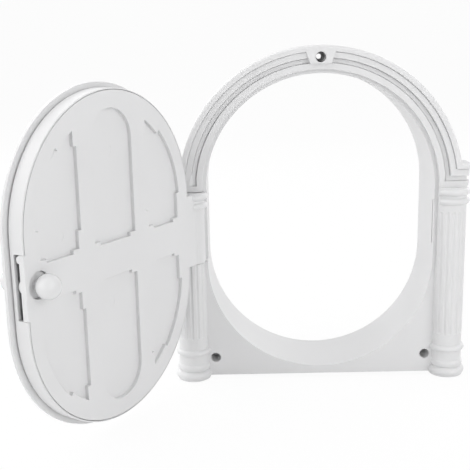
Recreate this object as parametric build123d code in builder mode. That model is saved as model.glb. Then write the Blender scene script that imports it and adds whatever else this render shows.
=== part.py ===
"""Interior pet door: arched trim frame with a through-tunnel, and an oval leaf on a column hinge.

Millimetres. +X right, +Y into the house door, +Z up. The origin is the middle of the opening, on the
trim's back plane. Depths are measured from that plane towards the front, so a depth d lies at Y = -d.
The leaf is modelled shut and then swung open about its hinge.
"""
import math
import os

from build123d import *

# Opening and tunnel
opening_half = 94.0
arch_rise = 30.0
tunnel_wall = 2.5
tunnel_end = 44.0
skin = 2.5

# Leaf: a plug that enters the tunnel, and a flange that seats on the frame
plug_gap = 2.5
plug_depth = 13.0
flange_overhang = 4.0
flange_thickness = 3.0
flange_rounding = 1.2
flange_clearance = 1.5
flange_hinge_overhang = 1.4
shell_wall = 2.4
cover_thickness = 2.5
cover_gap = 0.4
cover_shift = 0.2
cover_ledge = 1.5
shadow_groove_width = 1.3
shadow_groove_depth = 2.0
shadow_groove_backing = 1.6
wall_end_rounding = 0.8
face_rounding = 0.35
plug_half = opening_half - plug_gap
flange_half = plug_half + flange_overhang
rebate_half = flange_half + flange_clearance
cover_half = plug_half - shell_wall + cover_ledge - cover_gap
tunnel_outer = opening_half + tunnel_wall

# Recessed panels of the leaf
rail_half = 12.8
stile = 13.8
panel_border = 12.0
centre_panel_border = 13.7
centre_panel_half = 22.5
centre_panel_spring = plug_half + arch_rise - centre_panel_border - centre_panel_half
side_panel_inner = centre_panel_half + stile
panel_recess = 3.0
outer_panel_recess = 1.0
panel_floor = 2.0
panel_lap = 2.0
notch_step = 3.0
notch_rise = 2.6
notch_run = 6.0
notch_low = rail_half + 15.2
notch_outer_low = arch_rise + 5.0
notch_high = centre_panel_spring
notch_angle = 45.0
mould_mark_radius = 4.0
mould_mark_depth = 0.15
mould_marks = [
    (side_panel_inner + 22.7, centre_panel_spring - 2.0),
    (side_panel_inner + 18.7, notch_low - 1.0),
    (1.0, centre_panel_spring - 7.0),
    (6.0, -rail_half - 19.2),
]

# Columns and hinge
column_radius = 12.6
column_inset = 1.3
column_back_gap = 0.6
column_x = rebate_half + column_radius - column_inset
base_margin = 6.8
plate_bottom = opening_half + arch_rise + base_margin
column_bottom = plate_bottom + 1.7
plinth_height = 4.5
plinth_radius = 13.9
flute_count = 16
flute_radius = 1.9
flute_depth = 0.65
knuckle_half = 29.9
knuckle_gap = 0.4
knuckle_pocket_gap = 0.6
knuckle_core_radius = 10.1
knuckle_tube_radius = 4.6
hinge_seat_offset = 2.3
strap_half = knuckle_half - 0.6
strap_notch_gap = 0.8
flute_top = knuckle_half - 18.9
flute_bottom = 36.5 - column_bottom
knuckle_core_top = flute_top - 2.0
# Rings: middle height, half height and bulge
capital_rings = [(knuckle_half - 3.5, 3.1, 2.6), (knuckle_half - 11.2, 2.9, 2.4)]
base_rings = [
    (24.5 - column_bottom, 2.8, 2.2),
    (10.9 - column_bottom, 3.2, 1.1),
    (3.9 - column_bottom, 3.8, 2.8),
]
ring_root = 1.0
ring_reach = max(bulge for height, half, bulge in capital_rings + base_rings)
column_depth = column_radius + ring_reach + column_back_gap
hinge_axis = Axis((-column_x, -column_depth, 0), (0, 0, 1))

# Depths of the flange's seat and of the leaf, from the trim's back plane
seat_depth = column_depth + hinge_seat_offset
face_depth = seat_depth - plug_depth
flange_front = seat_depth + flange_thickness

# Arch moulding: width of each band, outwards from the flange, and its rise in front of the seat
inner_band_width = 5.2
channel_width = 4.1
band_width = 5.1
rim_width = 4.6
channel_step = rebate_half + inner_band_width
band_step = channel_step + channel_width
rim_step = band_step + band_width
rim_radius = rim_step + rim_width
inner_band_depth = seat_depth + 4.0
channel_depth = seat_depth + 2.5
band_depth = seat_depth + 5.5
rim_depth = seat_depth + 7.0
moulding_rounding = 0.4
rim_rounding = 1.4
# Sharp little groove at the root of each step
quirk = 0.6

# Entablature over each column, by height and by outer end
column_side = column_x + column_radius
block_bottom = knuckle_half + knuckle_gap
block_top = block_bottom + 4.8
channel_slab_top = block_top + 4.6
band_slab_top = channel_slab_top + 5.7
cornice_top = band_slab_top + 3.6
block_end = column_side - 1.2
block_return_end = column_side + 1.4
channel_slab_end = column_side - 1.6
band_slab_end = column_side - 0.4
cornice_end = column_side + 2.4

# Hinge pin
pin_radius = 2.0
pin_running_gap = 0.05
pin_seat_gap = 0.02
pin_top = block_bottom + 12.7
pin_bottom = -knuckle_half - 32.1
pin_boss_radius = 6.0
pin_boss_cap = 2.0

# Keystone and screw holes
keystone_top_half = 12.0
keystone_bottom_half = 8.4
keystone_hole_height = arch_rise + (channel_step + rim_step) / 2
base_hole_x = column_x - 18.8
base_hole_height = 15.8 - plate_bottom
screw_head_radius = 4.2
screw_hole_radius = 2.1
screw_floor = 3.0
screw_boss_radius = 6.5

# Latch: ball knobs on a square spindle that turns an arm
knob_x = plug_half - 12.2
knob_radius = 8.6
knob_stand = 8.0
outer_knob_stand = 7.4
dish_radius = 9.5
dish_depth = 3.5
dish_wall = 2.0
outer_dish_depth = 1.0
collar_gap = 0.6
collar_drop = 2.2
collar_thickness = 1.0
shank_radius = 4.0
shank_running_gap = 0.06
shank_arm_gap = 0.25
arm_length = plug_gap + 17.0
arm_half_width = 3.5
arm_thickness = 1.6
arm_hub_radius = 6.0
arm_seat_offset = 5.25
arm_depth = seat_depth - arm_seat_offset
arm_front = arm_depth + arm_thickness / 2
arm_back = arm_depth - arm_thickness / 2
inner_ball_depth = face_depth - knob_stand
outer_ball_depth = flange_front + outer_knob_stand
spindle_size = 4.4
spindle_fit = 0.05
slot_start = 4.2
slot_end = 8.6
slot_half = arm_length + 2.8
tab_gap = 0.3
# Bumps of the slot's tab: lower end, upper end and rise
tab_bumps = [(slot_half - 5.8, slot_half - 0.8, 2.3), (-2.5, 4.5, 1.6)]
strike_half = arm_length - 1.0
strike_side_gap = 0.85
strike_reach = 1.8

# Pose of the leaf
open_angle = 121.4


def front(depth):
    """Upright plane at a depth, with its normal towards the viewer."""
    return Plane.XZ.offset(depth)


def stadium(half, mode=Mode.ADD):
    """Oval face: two half rounds of radius half, with their middles at plus and minus the arch's rise."""
    SlotCenterToCenter(2 * arch_rise, 2 * half, rotation=90, mode=mode)


def side_panel(side, up):
    """Outline of a side panel, with stepped corners, in one quarter of the leaf."""
    outer = plug_half - panel_border
    corner = outer - notch_step
    inner_notch = side_panel_inner + notch_step
    foot = rail_half + notch_rise
    turn = math.radians(notch_angle)
    arc_start = arch_rise + math.sqrt(corner**2 - inner_notch**2)
    outer_foot = math.sqrt(outer**2 - (notch_outer_low - arch_rise) ** 2)
    half_turn = math.radians(notch_angle / 2 + 2)
    end_turn = math.atan2(arc_start - arch_rise, inner_notch)
    mid_turn = (turn + end_turn) / 2

    def place(x, z):
        return (side * x, up * z)

    def on_arc(radius, angle):
        return place(radius * math.cos(angle), arch_rise + radius * math.sin(angle))

    with BuildLine() as outline:
        Polyline(
            place(inner_notch, arc_start),
            place(inner_notch, notch_high),
            place(side_panel_inner, notch_high),
            place(side_panel_inner, notch_low),
            place(inner_notch, notch_low),
            place(inner_notch, foot),
            place(inner_notch + notch_run, foot),
            place(inner_notch + notch_run, rail_half),
            place(corner - notch_run, rail_half),
            place(corner - notch_run, foot),
            place(corner, foot),
            place(corner, notch_outer_low),
            place(outer_foot, notch_outer_low),
        )
        ThreePointArc(place(outer_foot, notch_outer_low), on_arc(outer, half_turn), on_arc(outer, turn))
        Line(on_arc(outer, turn), on_arc(corner, turn))
        ThreePointArc(on_arc(corner, turn), on_arc(corner, mid_turn), place(inner_notch, arc_start))
    make_face(outline.edges())


def centre_panel(up):
    """Outline of a centre panel: a round end away from the rail and a notch at each rail corner."""
    half = centre_panel_half
    foot = rail_half + notch_rise
    with BuildLine() as outline:
        Polyline(
            (half, up * centre_panel_spring),
            (half, up * foot),
            (half - notch_run, up * foot),
            (half - notch_run, up * rail_half),
            (notch_run - half, up * rail_half),
            (notch_run - half, up * foot),
            (-half, up * foot),
            (-half, up * centre_panel_spring),
        )
        ThreePointArc(
            (-half, up * centre_panel_spring),
            (0, up * (centre_panel_spring + half)),
            (half, up * centre_panel_spring),
        )
    make_face(outline.edges())


def six_panels():
    """All six panel outlines of a leaf face, in the current sketch."""
    for up in (1, -1):
        centre_panel(up)
        for side in (1, -1):
            side_panel(side, up)


def turned_ring(x, height, half, bulge):
    """Torus moulding round a column axis."""
    root = column_radius - ring_root
    with BuildSketch(front(column_depth)) as section:
        with Locations((x + root, height)):
            Ellipse(bulge + ring_root, half)
    revolve(section.sketch, axis=Axis((x, -column_depth, 0), (0, 0, 1)))


def half_column(x, top, rings):
    """Front half of a column with its base, carried straight back to the trim's back plane."""
    root = column_radius - ring_root
    with BuildSketch(Plane.XY.offset(-column_bottom)) as shaft:
        with Locations((x, -column_depth)):
            Circle(column_radius)
        with Locations((x, -column_depth / 2)):
            Rectangle(2 * column_radius, column_depth)
    extrude(shaft.sketch, amount=column_bottom + top)
    with BuildSketch(Plane.XY.offset(-column_bottom)) as plinth:
        with Locations((x, -column_depth)):
            Circle(plinth_radius)
        with Locations((x, -column_depth / 2)):
            Rectangle(2 * plinth_radius, column_depth)
    extrude(plinth.sketch, amount=plinth_height)
    for height, half, bulge in rings:
        turned_ring(x, height, half, bulge)
        with BuildSketch(front(0)) as back:
            with Locations((x - root, height), (x + root, height)):
                Ellipse(bulge + ring_root, half)
            with Locations((x, height)):
                Rectangle(2 * root, 2 * half)
        extrude(back.sketch, amount=column_depth)


def flutes(x, bottom, top, angles):
    """Round-ended flutes cut into a column shaft."""
    middle = column_radius + flute_radius - flute_depth
    for angle in angles:
        turn = math.radians(angle)
        place = (x + middle * math.cos(turn), -column_depth + middle * math.sin(turn))
        with BuildSketch(Plane.XY.offset(bottom + flute_radius)) as flute:
            with Locations(place):
                Circle(flute_radius)
        extrude(flute.sketch, amount=top - bottom - 2 * flute_radius, mode=Mode.SUBTRACT)
        with Locations((*place, bottom + flute_radius), (*place, top - flute_radius)):
            Sphere(flute_radius, mode=Mode.SUBTRACT)


# Frame: trim, columns, base plate and tunnel in one moulding
with BuildPart() as frame:
    # Arch ring, a stepped shell turned through half a round
    with BuildSketch(Plane.XY.offset(arch_rise)) as arch_section:
        with BuildLine():
            Polyline(
                (rebate_half, -inner_band_depth),
                (channel_step, -inner_band_depth),
                (channel_step, quirk - channel_depth),
                (channel_step + quirk, -channel_depth),
                (band_step - quirk, -channel_depth),
                (band_step, quirk - channel_depth),
                (band_step, -band_depth),
                (rim_step - quirk, -band_depth),
                (rim_step, quirk - band_depth),
                (rim_step, -rim_depth),
                (rim_radius, -rim_depth),
                (rim_radius, 0),
                (rim_radius - skin, 0),
                (rim_radius - skin, skin - band_depth),
                (band_step + skin, skin - band_depth),
                (band_step + skin, skin - channel_depth),
                (rebate_half + skin, skin - channel_depth),
                (rebate_half + skin, skin - seat_depth),
                (opening_half, skin - seat_depth),
                (opening_half, -seat_depth),
                (rebate_half, -seat_depth),
                close=True,
            )
        make_face()
        for radius, depth, rounding in (
            (rebate_half, inner_band_depth, moulding_rounding),
            (channel_step, inner_band_depth, moulding_rounding),
            (band_step, band_depth, moulding_rounding),
            (rim_step, rim_depth, moulding_rounding),
            (rim_radius, rim_depth, rim_rounding),
        ):
            corner = arch_section.vertices().sort_by_distance((radius, -depth, 0))[0]
            fillet(corner, rounding)
    revolve(axis=Axis((0, 0, arch_rise), (0, -1, 0)), revolution_arc=180)

    # Room for the entablature: the arch's outer bands stop at its slabs
    for side in (-1, 1):
        for inner_x, low, high, depth in (
            (channel_step, 0, block_top, 0),
            (channel_step, block_top, channel_slab_top, channel_depth),
            (band_step, channel_slab_top, band_slab_top, band_depth),
        ):
            with BuildSketch(front(depth)):
                with Locations((side * (inner_x + rim_radius) / 2, (low + high) / 2)):
                    Rectangle(rim_radius - inner_x + skin, high - low)
            extrude(amount=rim_depth, mode=Mode.SUBTRACT)

    # Entablature slabs, stacked over each column
    for side in (-1, 1):
        for inner_x, outer_x, low, high, depth in (
            (rebate_half, block_end, block_bottom, block_top, inner_band_depth),
            (column_x, block_return_end, block_bottom, block_top, column_depth),
            (channel_step, channel_slab_end, block_top, channel_slab_top, channel_depth),
            (band_step, band_slab_end, channel_slab_top, band_slab_top, band_depth),
            (rim_step, cornice_end, band_slab_top, cornice_top, rim_depth),
        ):
            with BuildSketch(front(0)):
                with Locations((side * (inner_x + outer_x) / 2, (low + high) / 2)):
                    Rectangle(outer_x - inner_x, high - low)
            extrude(amount=depth)

    # The grooves at the roots of the steps run on along the slabs
    for side in (-1, 1):
        for inner_x, outer_x, low, depth in (
            (channel_step, channel_slab_end, block_top, channel_depth),
            (band_step, channel_slab_end, channel_slab_top - quirk, channel_depth),
            (rim_step, band_slab_end, band_slab_top - quirk, band_depth),
        ):
            with BuildSketch(front(depth - quirk)):
                with Locations((side * (inner_x + outer_x) / 2, low + quirk / 2)):
                    Rectangle(outer_x - inner_x, quirk)
            extrude(amount=quirk, mode=Mode.SUBTRACT)

    # Base plate with its bottom wall
    with BuildSketch(front(seat_depth - skin)):
        with Locations((0, (block_bottom - plate_bottom) / 2)):
            Rectangle(2 * column_x, block_bottom + plate_bottom)
        stadium(opening_half, mode=Mode.SUBTRACT)
    extrude(amount=skin)
    with BuildSketch(front(0)):
        with Locations((0, skin / 2 - plate_bottom)):
            Rectangle(2 * column_x, skin)
    extrude(amount=seat_depth)

    # Columns: the right one is whole, the left one stops under the leaf's knuckle
    half_column(column_x, block_bottom, base_rings + capital_rings)
    half_column(-column_x, -knuckle_half, base_rings)

    # The columns and the entablature are cored from the back
    core_radius = column_radius - skin
    for x, top in ((column_x, block_bottom - skin), (-column_x, -knuckle_half - skin)):
        with BuildSketch(Plane.XY.offset(skin - column_bottom)):
            with Locations((x, -column_depth)):
                Circle(core_radius)
            with Locations((x, -column_depth / 2)):
                Rectangle(2 * core_radius, column_depth)
        extrude(amount=top + column_bottom - skin, mode=Mode.SUBTRACT)
    for side in (-1, 1):
        with BuildSketch(front(0)):
            with Locations((side * (rebate_half + channel_slab_end) / 2, (block_bottom + cornice_top) / 2)):
                Rectangle(channel_slab_end - rebate_half - 2 * skin, cornice_top - block_bottom - 2 * skin)
        extrude(amount=channel_depth - skin, mode=Mode.SUBTRACT)

    # Tunnel through the house door
    with BuildSketch(front(-tunnel_end)):
        stadium(tunnel_outer)
        stadium(opening_half, mode=Mode.SUBTRACT)
    extrude(amount=tunnel_end + seat_depth)

    # Keystone and screw bosses
    with BuildSketch(front(channel_depth - skin)):
        with BuildLine():
            Polyline(
                (-keystone_bottom_half, arch_rise + channel_step - moulding_rounding),
                (keystone_bottom_half, arch_rise + channel_step - moulding_rounding),
                (keystone_top_half, arch_rise + rim_step + moulding_rounding),
                (-keystone_top_half, arch_rise + rim_step + moulding_rounding),
                close=True,
            )
        make_face()
    extrude(amount=rim_depth + skin - channel_depth)
    screw_places = [
        (0, keystone_hole_height),
        (-base_hole_x, base_hole_height),
        (base_hole_x, base_hole_height),
    ]
    with BuildSketch(front(0)):
        with Locations(*screw_places):
            Circle(screw_boss_radius)
    extrude(amount=seat_depth)

    # Bosses for the hinge pin, in the entablature and in the lower column
    boss_top = pin_top + pin_boss_cap
    with BuildSketch(Plane.XY.offset(block_bottom)):
        with Locations((-column_x, -column_depth)):
            Circle(pin_boss_radius)
        with Locations((-column_x, -column_depth / 2)):
            Rectangle(2 * pin_boss_radius, column_depth)
    extrude(amount=boss_top - block_bottom)
    with BuildSketch(Plane.XY.offset(pin_bottom)):
        with Locations((-column_x, -column_depth)):
            Circle(core_radius)
    extrude(amount=-knuckle_half - pin_bottom)

    # Everything in front of the seat stays clear of the flange
    with BuildSketch(front(seat_depth)):
        stadium(rebate_half)
    extrude(amount=column_radius + column_depth, mode=Mode.SUBTRACT)

    # The passage stays clear of the columns' rings
    with BuildSketch(front(0)):
        stadium(opening_half)
    extrude(amount=seat_depth, mode=Mode.SUBTRACT)

    # Pocket for the turning knuckle, and the notch in the jamb for its strap
    pocket_radius = column_radius + ring_reach + knuckle_pocket_gap
    with BuildSketch(Plane.XY.offset(-knuckle_half)):
        with Locations((-column_x, -column_depth)):
            Circle(pocket_radius)
        with Locations((-column_x, -column_depth / 2)):
            Rectangle(2 * pocket_radius, column_depth, mode=Mode.ADD)
    extrude(amount=knuckle_half + block_bottom, mode=Mode.SUBTRACT)
    notch_back = face_depth - strap_notch_gap
    with BuildSketch(front(notch_back)):
        with Locations((-opening_half - tunnel_wall / 2, (block_bottom - knuckle_half) / 2)):
            Rectangle(3 * tunnel_wall, block_bottom + knuckle_half)
    extrude(amount=seat_depth + skin - notch_back, mode=Mode.SUBTRACT)

    # Tunnel wall again behind the knuckle, where the pocket opens to the back
    with BuildSketch(front(-tunnel_end)):
        stadium(tunnel_outer)
        stadium(opening_half, mode=Mode.SUBTRACT)
    extrude(amount=tunnel_end + notch_back)

    # Flutes, on the front of each column
    shaft_angles = [180 + step * 360 / flute_count for step in range(1, flute_count // 2)]
    flutes(column_x, flute_bottom, flute_top, shaft_angles)
    flutes(-column_x, flute_bottom, -knuckle_half + 2 * flute_radius, shaft_angles)

    # Screw holes with deep counterbores
    with BuildSketch(front(screw_floor)):
        with Locations(*screw_places):
            Circle(screw_head_radius)
    extrude(amount=rim_depth, mode=Mode.SUBTRACT)
    with BuildSketch(front(0)):
        with Locations(*screw_places):
            Circle(screw_hole_radius)
    extrude(amount=rim_depth, mode=Mode.SUBTRACT)

    # Hinge pin seats and the strike slot for the latch arm
    with BuildSketch(Plane.XY.offset(pin_bottom)):
        with Locations((-column_x, -column_depth)):
            Circle(pin_radius + pin_seat_gap)
    extrude(amount=pin_top - pin_bottom, mode=Mode.SUBTRACT)
    strike_end = knob_x + arm_length + strike_reach
    with BuildSketch(front(arm_back - strike_side_gap)):
        with Locations(((opening_half + strike_end) / 2 - skin / 2, 0)):
            Rectangle(strike_end - opening_half + skin, 2 * strike_half)
    extrude(amount=arm_thickness + 2 * strike_side_gap, mode=Mode.SUBTRACT)
frame.part.label = "frame"


# Hinge pin: a plain steel rod down the left column
with BuildPart() as hinge_pin:
    with BuildSketch(Plane.XY.offset(pin_bottom)):
        with Locations((-column_x, -column_depth)):
            Circle(pin_radius)
    extrude(amount=pin_top - pin_bottom)
hinge_pin.part.label = "hinge_pin"


# Outer shell of the leaf: flange, outer face and the plug's side wall
with BuildPart() as leaf_outer_shell:
    with BuildSketch(front(seat_depth)):
        stadium(flange_half)
        with Locations((-plug_half - flange_hinge_overhang - flange_half, 0)):
            Rectangle(2 * flange_half, 2 * (flange_half + arch_rise), mode=Mode.SUBTRACT)
    extrude(amount=flange_thickness)
    long_edges = leaf_outer_shell.edges().filter_by(lambda e: e.length > arch_rise)
    fillet(long_edges.group_by(Axis.Y)[0], flange_rounding)
    long_edges = leaf_outer_shell.edges().filter_by(lambda e: e.length > arch_rise)
    fillet(long_edges.group_by(Axis.Y)[-1], face_rounding)
    with BuildSketch(front(face_depth)):
        stadium(plug_half)
    extrude(amount=plug_depth)
    wall_end = leaf_outer_shell.edges().group_by(Axis.Y)[-1]
    fillet(wall_end, wall_end_rounding)
    with BuildSketch(front(face_depth)):
        stadium(plug_half - shell_wall)
    extrude(amount=plug_depth, mode=Mode.SUBTRACT)

    # Ledge that the inner cover sits on
    with BuildSketch(front(face_depth)):
        stadium(plug_half - shell_wall + cover_ledge)
    extrude(amount=cover_thickness, mode=Mode.SUBTRACT)

    # Shadow groove between flange and side wall, with a backing ring inside the wall
    with BuildSketch(front(seat_depth - 2 * shadow_groove_width)):
        stadium(plug_half - shell_wall)
        stadium(plug_half - shell_wall - shadow_groove_backing, mode=Mode.SUBTRACT)
    extrude(amount=2 * shadow_groove_width)
    with BuildSketch(front(seat_depth - shadow_groove_width)):
        stadium(plug_half)
        stadium(plug_half - shadow_groove_depth, mode=Mode.SUBTRACT)
    extrude(amount=shadow_groove_width, mode=Mode.SUBTRACT)

    # Panels of the outer face, and the dish round its knob
    with BuildSketch(front(flange_front - outer_panel_recess)):
        six_panels()
    extrude(amount=outer_panel_recess, mode=Mode.SUBTRACT)
    with BuildSketch(front(flange_front - outer_dish_depth)):
        with Locations((knob_x, 0)):
            Circle(dish_radius)
    extrude(amount=outer_dish_depth, mode=Mode.SUBTRACT)

    # Bearing for the outer knob's shank
    with BuildSketch(front(arm_front + 2 * shank_arm_gap)):
        with Locations((knob_x, 0)):
            Circle(dish_radius - dish_wall)
    extrude(amount=flange_front - outer_dish_depth - arm_front - 2 * shank_arm_gap)
    with BuildSketch(front(arm_front)):
        with Locations((knob_x, 0)):
            Circle(shank_radius + shank_running_gap)
    extrude(amount=flange_front - arm_front, mode=Mode.SUBTRACT)

    # Latch slot in the side wall, open towards the cover's tab, and the notch for the cover's strap
    with BuildSketch(front(face_depth)):
        with Locations((plug_half, 0)):
            Rectangle(4 * shell_wall, 2 * slot_half)
    extrude(amount=plug_depth - slot_start, mode=Mode.SUBTRACT)
    with BuildSketch(front(face_depth)):
        with Locations((-plug_half, 0)):
            Rectangle(4 * shell_wall, 2 * (strap_half + tab_gap))
    extrude(amount=cover_thickness, mode=Mode.SUBTRACT)
leaf_outer_shell.part.label = "leaf_outer_shell"


# Inner cover of the leaf: panelled face, latch tab, strap and the hinge knuckle shaped as a column
with BuildPart() as leaf_inner_cover:
    with BuildSketch(front(face_depth)):
        with Locations((-cover_shift, 0)):
            stadium(cover_half)
    extrude(amount=cover_thickness)
    with BuildSketch(front(face_depth)):
        six_panels()
    extrude(amount=cover_thickness, mode=Mode.SUBTRACT)
    face_edges = leaf_inner_cover.edges().group_by(Axis.Y)[-1]
    fillet(face_edges, face_rounding)
    with BuildSketch(front(face_depth + cover_thickness)):
        six_panels()
        offset(amount=panel_lap)
    extrude(amount=panel_recess + panel_floor - cover_thickness)
    with BuildSketch(front(face_depth + cover_thickness)):
        six_panels()
    extrude(amount=panel_recess - cover_thickness, mode=Mode.SUBTRACT)
    with BuildSketch(front(face_depth + panel_recess)):
        with Locations(*mould_marks):
            Circle(mould_mark_radius)
    extrude(amount=mould_mark_depth, mode=Mode.SUBTRACT)

    # Boss for the knob's collar and bearing
    with BuildSketch(front(face_depth)):
        with Locations((knob_x, 0)):
            Circle(dish_radius + dish_wall)
    extrude(amount=dish_depth + dish_wall)

    # Tab that closes the inner half of the latch slot, with its two bumps
    tab_half = slot_half - tab_gap
    tab_inner = plug_half - shell_wall
    with BuildSketch(front(face_depth)):
        with Locations(((plug_half + tab_inner) / 2, 0)):
            Rectangle(shell_wall, 2 * tab_half)
    extrude(amount=plug_depth - slot_end)
    with BuildSketch(front(face_depth)):
        with Locations(((plug_half + cover_half) / 2 - shell_wall, 0)):
            Rectangle(plug_half - cover_half + 2 * shell_wall, 2 * tab_half)
    extrude(amount=cover_thickness)
    for low, high, rise in tab_bumps:
        with BuildSketch(Plane.YZ.offset(tab_inner)):
            with Locations((-(seat_depth - slot_end), (low + high) / 2)):
                Ellipse(rise, (high - low) / 2)
        extrude(amount=shell_wall)

    # Pocket for the knob's collar, with the shank's bearing in its floor
    with BuildSketch(front(face_depth)):
        with Locations((knob_x, 0)):
            Circle(dish_radius)
    extrude(amount=dish_depth, mode=Mode.SUBTRACT)
    with BuildSketch(front(face_depth)):
        with Locations((knob_x, 0)):
            Circle(shank_radius + shank_running_gap)
    extrude(amount=plug_depth, mode=Mode.SUBTRACT)

    # Strap and knuckle
    with BuildSketch(front(face_depth)):
        with Locations((-(column_x + cover_half) / 2, 0)):
            Rectangle(column_x - cover_half + 2 * shell_wall, 2 * strap_half)
    extrude(amount=cover_thickness)
    with BuildSketch(Plane.XY.offset(knuckle_gap - knuckle_half)):
        with Locations((-column_x, -column_depth)):
            Circle(column_radius)
    extrude(amount=2 * knuckle_half - knuckle_gap)
    for height, half, bulge in capital_rings:
        turned_ring(-column_x, height, half, bulge)
    with BuildSketch(Plane.XY.offset(knuckle_gap - knuckle_half)):
        with Locations((-column_x, -column_depth)):
            Circle(knuckle_core_radius)
            Circle(knuckle_tube_radius, mode=Mode.SUBTRACT)
    extrude(amount=knuckle_core_top + knuckle_half - knuckle_gap, mode=Mode.SUBTRACT)
    strap_turn = math.degrees(math.acos((column_depth - face_depth) / column_radius))
    flute_middle = column_radius + flute_radius - flute_depth
    strap_side = math.degrees(
        math.asin((column_depth - face_depth - cover_thickness - flute_radius) / flute_middle)
    )
    knuckle_angles = [
        angle
        for angle in (step * 360 / flute_count for step in range(flute_count))
        if not strap_side < angle <= 90 + strap_turn / 2
    ]
    flutes(-column_x, knuckle_gap - knuckle_half - 2 * flute_radius, flute_top, knuckle_angles)
    with BuildSketch(Plane.XY.offset(-knuckle_half)):
        with Locations((-column_x, -column_depth)):
            Circle(pin_radius + pin_running_gap)
    extrude(amount=2 * knuckle_half, mode=Mode.SUBTRACT)
leaf_inner_cover.part.label = "leaf_inner_cover"


# Latch arm: a flat arm on a hub, keyed to the spindle, pointing up when drawn in
with BuildPart() as latch_arm:
    with BuildSketch(front(arm_back)):
        with Locations((knob_x, 0)):
            Circle(arm_hub_radius)
        with Locations((knob_x, (arm_length - arm_half_width) / 2)):
            SlotCenterToCenter(arm_length - arm_half_width, 2 * arm_half_width, rotation=90)
        with Locations((knob_x, 0)):
            Rectangle(spindle_size + 2 * spindle_fit, spindle_size + 2 * spindle_fit, mode=Mode.SUBTRACT)
    extrude(amount=arm_thickness)
latch_arm.part.label = "latch_arm"


# Spindle: square bar that joins both knobs and the arm
with BuildPart() as latch_spindle:
    with BuildSketch(front(inner_ball_depth + spindle_fit)):
        with Locations((knob_x, 0)):
            Rectangle(spindle_size, spindle_size)
    extrude(amount=outer_ball_depth - inner_ball_depth - 2 * spindle_fit)
latch_spindle.part.label = "latch_spindle"


def ball_knob(ball_depth, shank_depth):
    """Ball with a round shank that runs from the ball's middle to shank_depth, and a square socket."""
    with Locations((knob_x, -ball_depth, 0)):
        Sphere(knob_radius)
    low = min(ball_depth, shank_depth)
    with BuildSketch(front(low)) as shank:
        with Locations((knob_x, 0)):
            Circle(shank_radius)
    extrude(shank.sketch, amount=abs(shank_depth - ball_depth))
    with BuildSketch(front(low)) as socket:
        with Locations((knob_x, 0)):
            Rectangle(spindle_size + 2 * spindle_fit, spindle_size + 2 * spindle_fit)
    extrude(socket.sketch, amount=abs(shank_depth - ball_depth), mode=Mode.SUBTRACT)


# Inner knob, on the tunnel side of the leaf, with a collar that turns in the cover's pocket
with BuildPart() as inner_knob:
    with BuildSketch(front(face_depth + collar_drop)):
        with Locations((knob_x, 0)):
            Circle(dish_radius - collar_gap)
    extrude(amount=collar_thickness)
    ball_knob(inner_ball_depth, arm_back - shank_arm_gap)
inner_knob.part.label = "inner_knob"


# Outer knob, on the room side of the leaf
with BuildPart() as outer_knob:
    ball_knob(outer_ball_depth, arm_front + shank_arm_gap)
outer_knob.part.label = "outer_knob"


# The leaf and its latch swing open together about the hinge
os.makedirs("parts", exist_ok=True)
for piece in (leaf_outer_shell, leaf_inner_cover, latch_arm, latch_spindle, inner_knob, outer_knob):
    name = piece.part.label
    piece.part = piece.part.rotate(hinge_axis, -open_angle)
    piece.part.label = name
for piece in (
    frame,
    hinge_pin,
    leaf_outer_shell,
    leaf_inner_cover,
    latch_arm,
    latch_spindle,
    inner_knob,
    outer_knob,
):
    export_step(piece.part, f"parts/{piece.part.label}.step")
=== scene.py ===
"""Interior pet door, seen from the front with its leaf standing open."""
import math

import bpy
from mathutils import Matrix, Vector


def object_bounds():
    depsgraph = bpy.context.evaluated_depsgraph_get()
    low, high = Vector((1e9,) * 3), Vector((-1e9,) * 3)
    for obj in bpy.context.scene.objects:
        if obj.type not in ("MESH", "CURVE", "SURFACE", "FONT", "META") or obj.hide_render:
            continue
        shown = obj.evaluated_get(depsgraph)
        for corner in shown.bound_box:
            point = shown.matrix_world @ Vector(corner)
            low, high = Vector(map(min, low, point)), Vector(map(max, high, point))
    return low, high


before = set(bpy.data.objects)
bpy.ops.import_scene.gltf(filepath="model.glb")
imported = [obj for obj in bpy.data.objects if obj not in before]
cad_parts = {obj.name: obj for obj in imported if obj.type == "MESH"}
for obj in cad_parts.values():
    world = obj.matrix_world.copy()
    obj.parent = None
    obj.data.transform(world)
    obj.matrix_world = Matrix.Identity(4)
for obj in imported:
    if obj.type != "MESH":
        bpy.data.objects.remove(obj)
cad_low, cad_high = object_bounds()
bpy.ops.object.select_all(action="DESELECT")


# Camera: a little left of the opening, above its middle and looking down, as the photograph was taken.
# The picture is square and its lens is a short telephoto.
picture_size = 470
focal_pixels = 867.42
sensor_width = 36
nearest_seen = 0.01
camera_place = Vector((-0.0652, -0.72175, 0.15605))
camera_yaw = -0.008
camera_pitch = -0.228
camera_roll = -0.022
forward = Vector((
    math.sin(camera_yaw) * math.cos(camera_pitch),
    math.cos(camera_yaw) * math.cos(camera_pitch),
    math.sin(camera_pitch),
))
level = Vector((math.cos(camera_yaw), -math.sin(camera_yaw), 0))
overhead = level.cross(forward)
right = math.cos(camera_roll) * level + math.sin(camera_roll) * overhead
upward = math.cos(camera_roll) * overhead - math.sin(camera_roll) * level
bpy.ops.object.camera_add()
camera = bpy.context.object
camera.name = "photo_camera"
camera.data.sensor_width = sensor_width
camera.data.lens = focal_pixels / picture_size * sensor_width
camera.data.clip_start = nearest_seen
camera.matrix_world = Matrix((right, upward, -forward)).transposed().to_4x4()
camera.location = camera_place
bpy.context.scene.camera = camera


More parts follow.
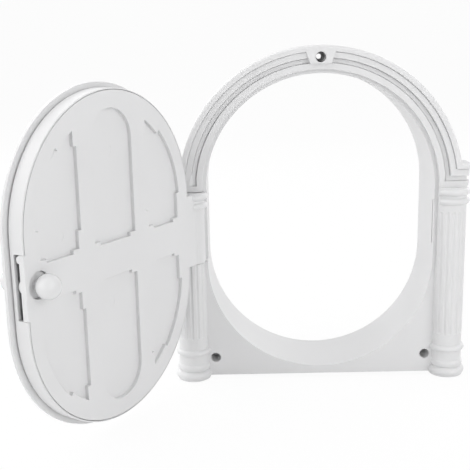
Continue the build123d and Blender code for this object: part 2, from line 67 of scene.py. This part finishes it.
# Frame: one hollow white moulding, with the trim, the columns, the base plate and the tunnel in it.
# It is injection moulded in white plastic, with a fine satin grain left by the tool.
class Socket:
    """A shader value that can be used in Python sums."""

    def __init__(self, tree, socket):
        self.tree = tree
        self.socket = socket

    def _maths(self, operation, *values):
        return self.tree.node("ShaderNodeMath", {"operation": operation}, dict(enumerate(values)))

    def __add__(self, other):
        return self._maths("ADD", self, other)

    def __radd__(self, other):
        return self._maths("ADD", other, self)

    def __mul__(self, other):
        return self._maths("MULTIPLY", self, other)

    def __rmul__(self, other):
        return self._maths("MULTIPLY", other, self)


class Nodes:
    """A node tree whose nodes are added one call at a time."""

    def __init__(self, tree):
        self.tree = tree

    def node(self, kind, settings=None, inputs=None, output=0):
        made = self.tree.nodes.new(kind)
        for key, value in (settings or {}).items():
            setattr(made, key, value)
        for key, value in (inputs or {}).items():
            self.put(made.inputs[key], value)
        return Socket(self, made.outputs[output])

    def put(self, target, value):
        if isinstance(value, Socket):
            self.tree.links.new(value.socket, target)
        else:
            target.default_value = value

    def seen(self):
        """1 for rays of the camera, of gloss and of glass, and 0 for light."""
        rays = ("Is Camera Ray", "Is Glossy Ray", "Is Transmission Ray")
        camera_ray, glossy, through = [self.node("ShaderNodeLightPath", output=ray) for ray in rays]
        return camera_ray + glossy + through


class Finish(Nodes):
    """A material and its shader."""

    def __init__(self, name):
        self.material = bpy.data.materials.new(name)
        self.material.use_nodes = True
        super().__init__(self.material.node_tree)
        self.shader = self.tree.nodes["Principled BSDF"]
        self.output = self.tree.nodes["Material Output"]

    def set(self, **values):
        for key, value in values.items():
            self.put(self.shader.inputs[key.replace("_", " ")], value)


def white_moulded_plastic(name, colour, roughness):
    """Satin white plastic: a fine tool grain, and a faint change of tone in slow waves."""
    grain_scale = 1500.0
    grain_depth = 0.00002
    grain_strength = 0.04
    grain_roughness = 0.1
    wave_scale = 22.0
    wave_shade = 0.97
    plastic_ior = 1.46
    finish = Finish(name)
    place = finish.node("ShaderNodeTexCoord", output="Object")
    grain = finish.node("ShaderNodeTexNoise", {}, {"Vector": place, "Scale": grain_scale, "Detail": 2.0})
    waves = finish.node("ShaderNodeTexNoise", {}, {"Vector": place, "Scale": wave_scale, "Detail": 1.0})
    shade = tuple(wave_shade * channel for channel in colour[:3]) + (1,)
    tone = finish.node(
        "ShaderNodeMix",
        {"data_type": "RGBA"},
        {"Factor": waves, "A": colour, "B": shade},
        output="Result",
    )
    relief = finish.node(
        "ShaderNodeBump",
        {},
        {"Strength": grain_strength, "Distance": grain_depth, "Height": grain},
    )
    finish.set(
        Base_Color=tone,
        Roughness=roughness + grain_roughness * grain,
        Normal=relief,
        IOR=plastic_ior,
    )
    return finish


def dress(finish, *names):
    """Gives CAD nodes one finish."""
    for name in names:
        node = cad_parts[name]
        node.data.materials.clear()
        node.data.materials.append(finish.material)


plastic_colour = (0.70, 0.70, 0.705, 1)
satin = 0.36
dress(white_moulded_plastic("white_plastic_frame", plastic_colour, satin), "frame")


# Hinge pin: a drawn steel rod, pushed up through the left column and the leaf's knuckle.
# Its drawn marks run along it.
def drawn_steel(name):
    """Bright steel with fine marks along its length."""
    steel_colour = (0.60, 0.61, 0.63, 1)
    marks_across = 2500.0
    marks_along = 40.0
    brightest = 0.22
    mark_roughness = 0.2
    finish = Finish(name)
    place = finish.node("ShaderNodeTexCoord", output="Object")
    drawn = finish.node(
        "ShaderNodeMapping",
        {},
        {"Vector": place, "Scale": (marks_across, marks_across, marks_along)},
    )
    marks = finish.node("ShaderNodeTexNoise", {}, {"Vector": drawn, "Scale": 1.0, "Detail": 3.0})
    finish.set(Base_Color=steel_colour, Metallic=1.0, Roughness=brightest + mark_roughness * marks)
    return finish


steel = drawn_steel("drawn_steel")
dress(steel, "hinge_pin")


# Leaf: an outer shell with the flange and side wall, and an inner cover that carries the hinge knuckle.
# Both are white mouldings, snapped together round the latch.
leaf_plastic = white_moulded_plastic("white_plastic_leaf", plastic_colour, satin)
dress(leaf_plastic, "leaf_outer_shell", "leaf_inner_cover")


# Latch: two ball knobs and an arm in the same white plastic, pushed on one square steel spindle.
# They come from polished moulds, so they are glossier than the leaf.
polished = 0.14
latch_plastic = white_moulded_plastic("white_plastic_latch", plastic_colour, polished)
dress(latch_plastic, "latch_arm", "inner_knob", "outer_knob")
dress(steel, "latch_spindle")


# Floor and backdrop: one pale sheet that runs from under the door up behind it in a broad curve.
# It is white to the camera and to gloss, and still takes the door's shadow.
sheet_width = 8.0
sheet_front = -3.0
sheet_back = 1.6
sheet_height = 4.0
sheet_curve = 1.0
curve_steps = 24
edge_reach = 0.01
floor_gap = 0.001
floor_height = cad_low.z - floor_gap
bpy.ops.mesh.primitive_plane_add(size=1, location=(0, 0, 0))
floor = bpy.context.object
floor.name = "floor"
floor.scale = (sheet_width, sheet_back - sheet_front, 1)
floor.location = (0, (sheet_back + sheet_front) / 2, floor_height)
bpy.ops.object.transform_apply(location=True, rotation=True, scale=True)
bpy.ops.object.mode_set(mode="EDIT")
bpy.ops.mesh.select_all(action="DESELECT")
bpy.ops.mesh.select_mode(type="EDGE")
bpy.ops.object.mode_set(mode="OBJECT")
for edge in floor.data.edges:
    edge.select = all(floor.data.vertices[v].co.y > sheet_back - edge_reach for v in edge.vertices)
bpy.ops.object.mode_set(mode="EDIT")
bpy.ops.mesh.spin(
    steps=curve_steps,
    angle=-math.pi / 2,
    center=(0, sheet_back, floor_height + sheet_curve),
    axis=(1, 0, 0),
)
bpy.ops.mesh.extrude_edges_move(TRANSFORM_OT_translate={"value": (0, 0, sheet_height)})
bpy.ops.object.mode_set(mode="OBJECT")
bpy.ops.object.shade_smooth()
white = (1, 1, 1, 1)
sheet_colour = (0.85, 0.85, 0.85, 1)
sheet_roughness = 0.9
shown_white = 0.94
pale = Finish("pale_floor")
pale.set(Base_Color=sheet_colour, Roughness=sheet_roughness)
glow = pale.node("ShaderNodeEmission", {}, {"Color": white, "Strength": 1.0})
sheet_surface = pale.node(
    "ShaderNodeMixShader",
    {},
    {0: pale.seen() * shown_white, 1: Socket(pale, pale.shader.outputs[0]), 2: glow},
)
pale.put(pale.output.inputs["Surface"], sheet_surface)
floor.data.materials.append(pale.material)


# Light: a white room with broad soft lamps at both sides, above and behind, and none straight in front.
# Faces that look at the viewer are therefore the quietest, and the steps of the panels stay dark.
room_light = 0.29
room_shown = 1.0
room = bpy.data.worlds.new("white_room")
bpy.context.scene.world = room
room.use_nodes = True
walls = Nodes(room.node_tree)
lighting = walls.node("ShaderNodeBackground", {}, {"Color": white, "Strength": room_light})
shown = walls.node("ShaderNodeBackground", {}, {"Color": white, "Strength": room_shown})
room_surface = walls.node("ShaderNodeMixShader", {}, {0: walls.seen(), 1: lighting, 2: shown})
walls.put(room.node_tree.nodes["World Output"].inputs["Surface"], room_surface)


def soft_lamp(name, place, size, power):
    """Square lamp at place that faces the middle of the door."""
    bpy.ops.object.light_add(type="AREA", location=place)
    lamp = bpy.context.object
    lamp.name = name
    lamp.data.size = size
    lamp.data.energy = power
    lamp.rotation_euler = (-Vector(place)).to_track_quat("-Z", "Y").to_euler()


side_size = 1.2
overhead_size = 2.6
soft_lamp("left_front_lamp", (-1.3, -1.1, 0.4), side_size, 8.0)
soft_lamp("left_upper_lamp", (-1.1, -0.3, 1.1), side_size, 9.0)
soft_lamp("left_rear_lamp", (-1.4, 0.5, 0.4), side_size, 2.5)
soft_lamp("right_front_lamp", (1.0, -1.2, 0.5), side_size, 11.0)
soft_lamp("right_upper_lamp", (1.2, -0.35, 1.0), side_size, 3.0)
soft_lamp("rear_left_lamp", (-1.0, 1.1, 0.8), side_size, 8.0)
soft_lamp("rear_right_lamp", (1.0, 1.1, 0.8), side_size, 7.5)
soft_lamp("overhead_lamp", (0, 0, 2.4), overhead_size, 15.0)

bpy.context.scene.view_settings.view_transform = "Standard"
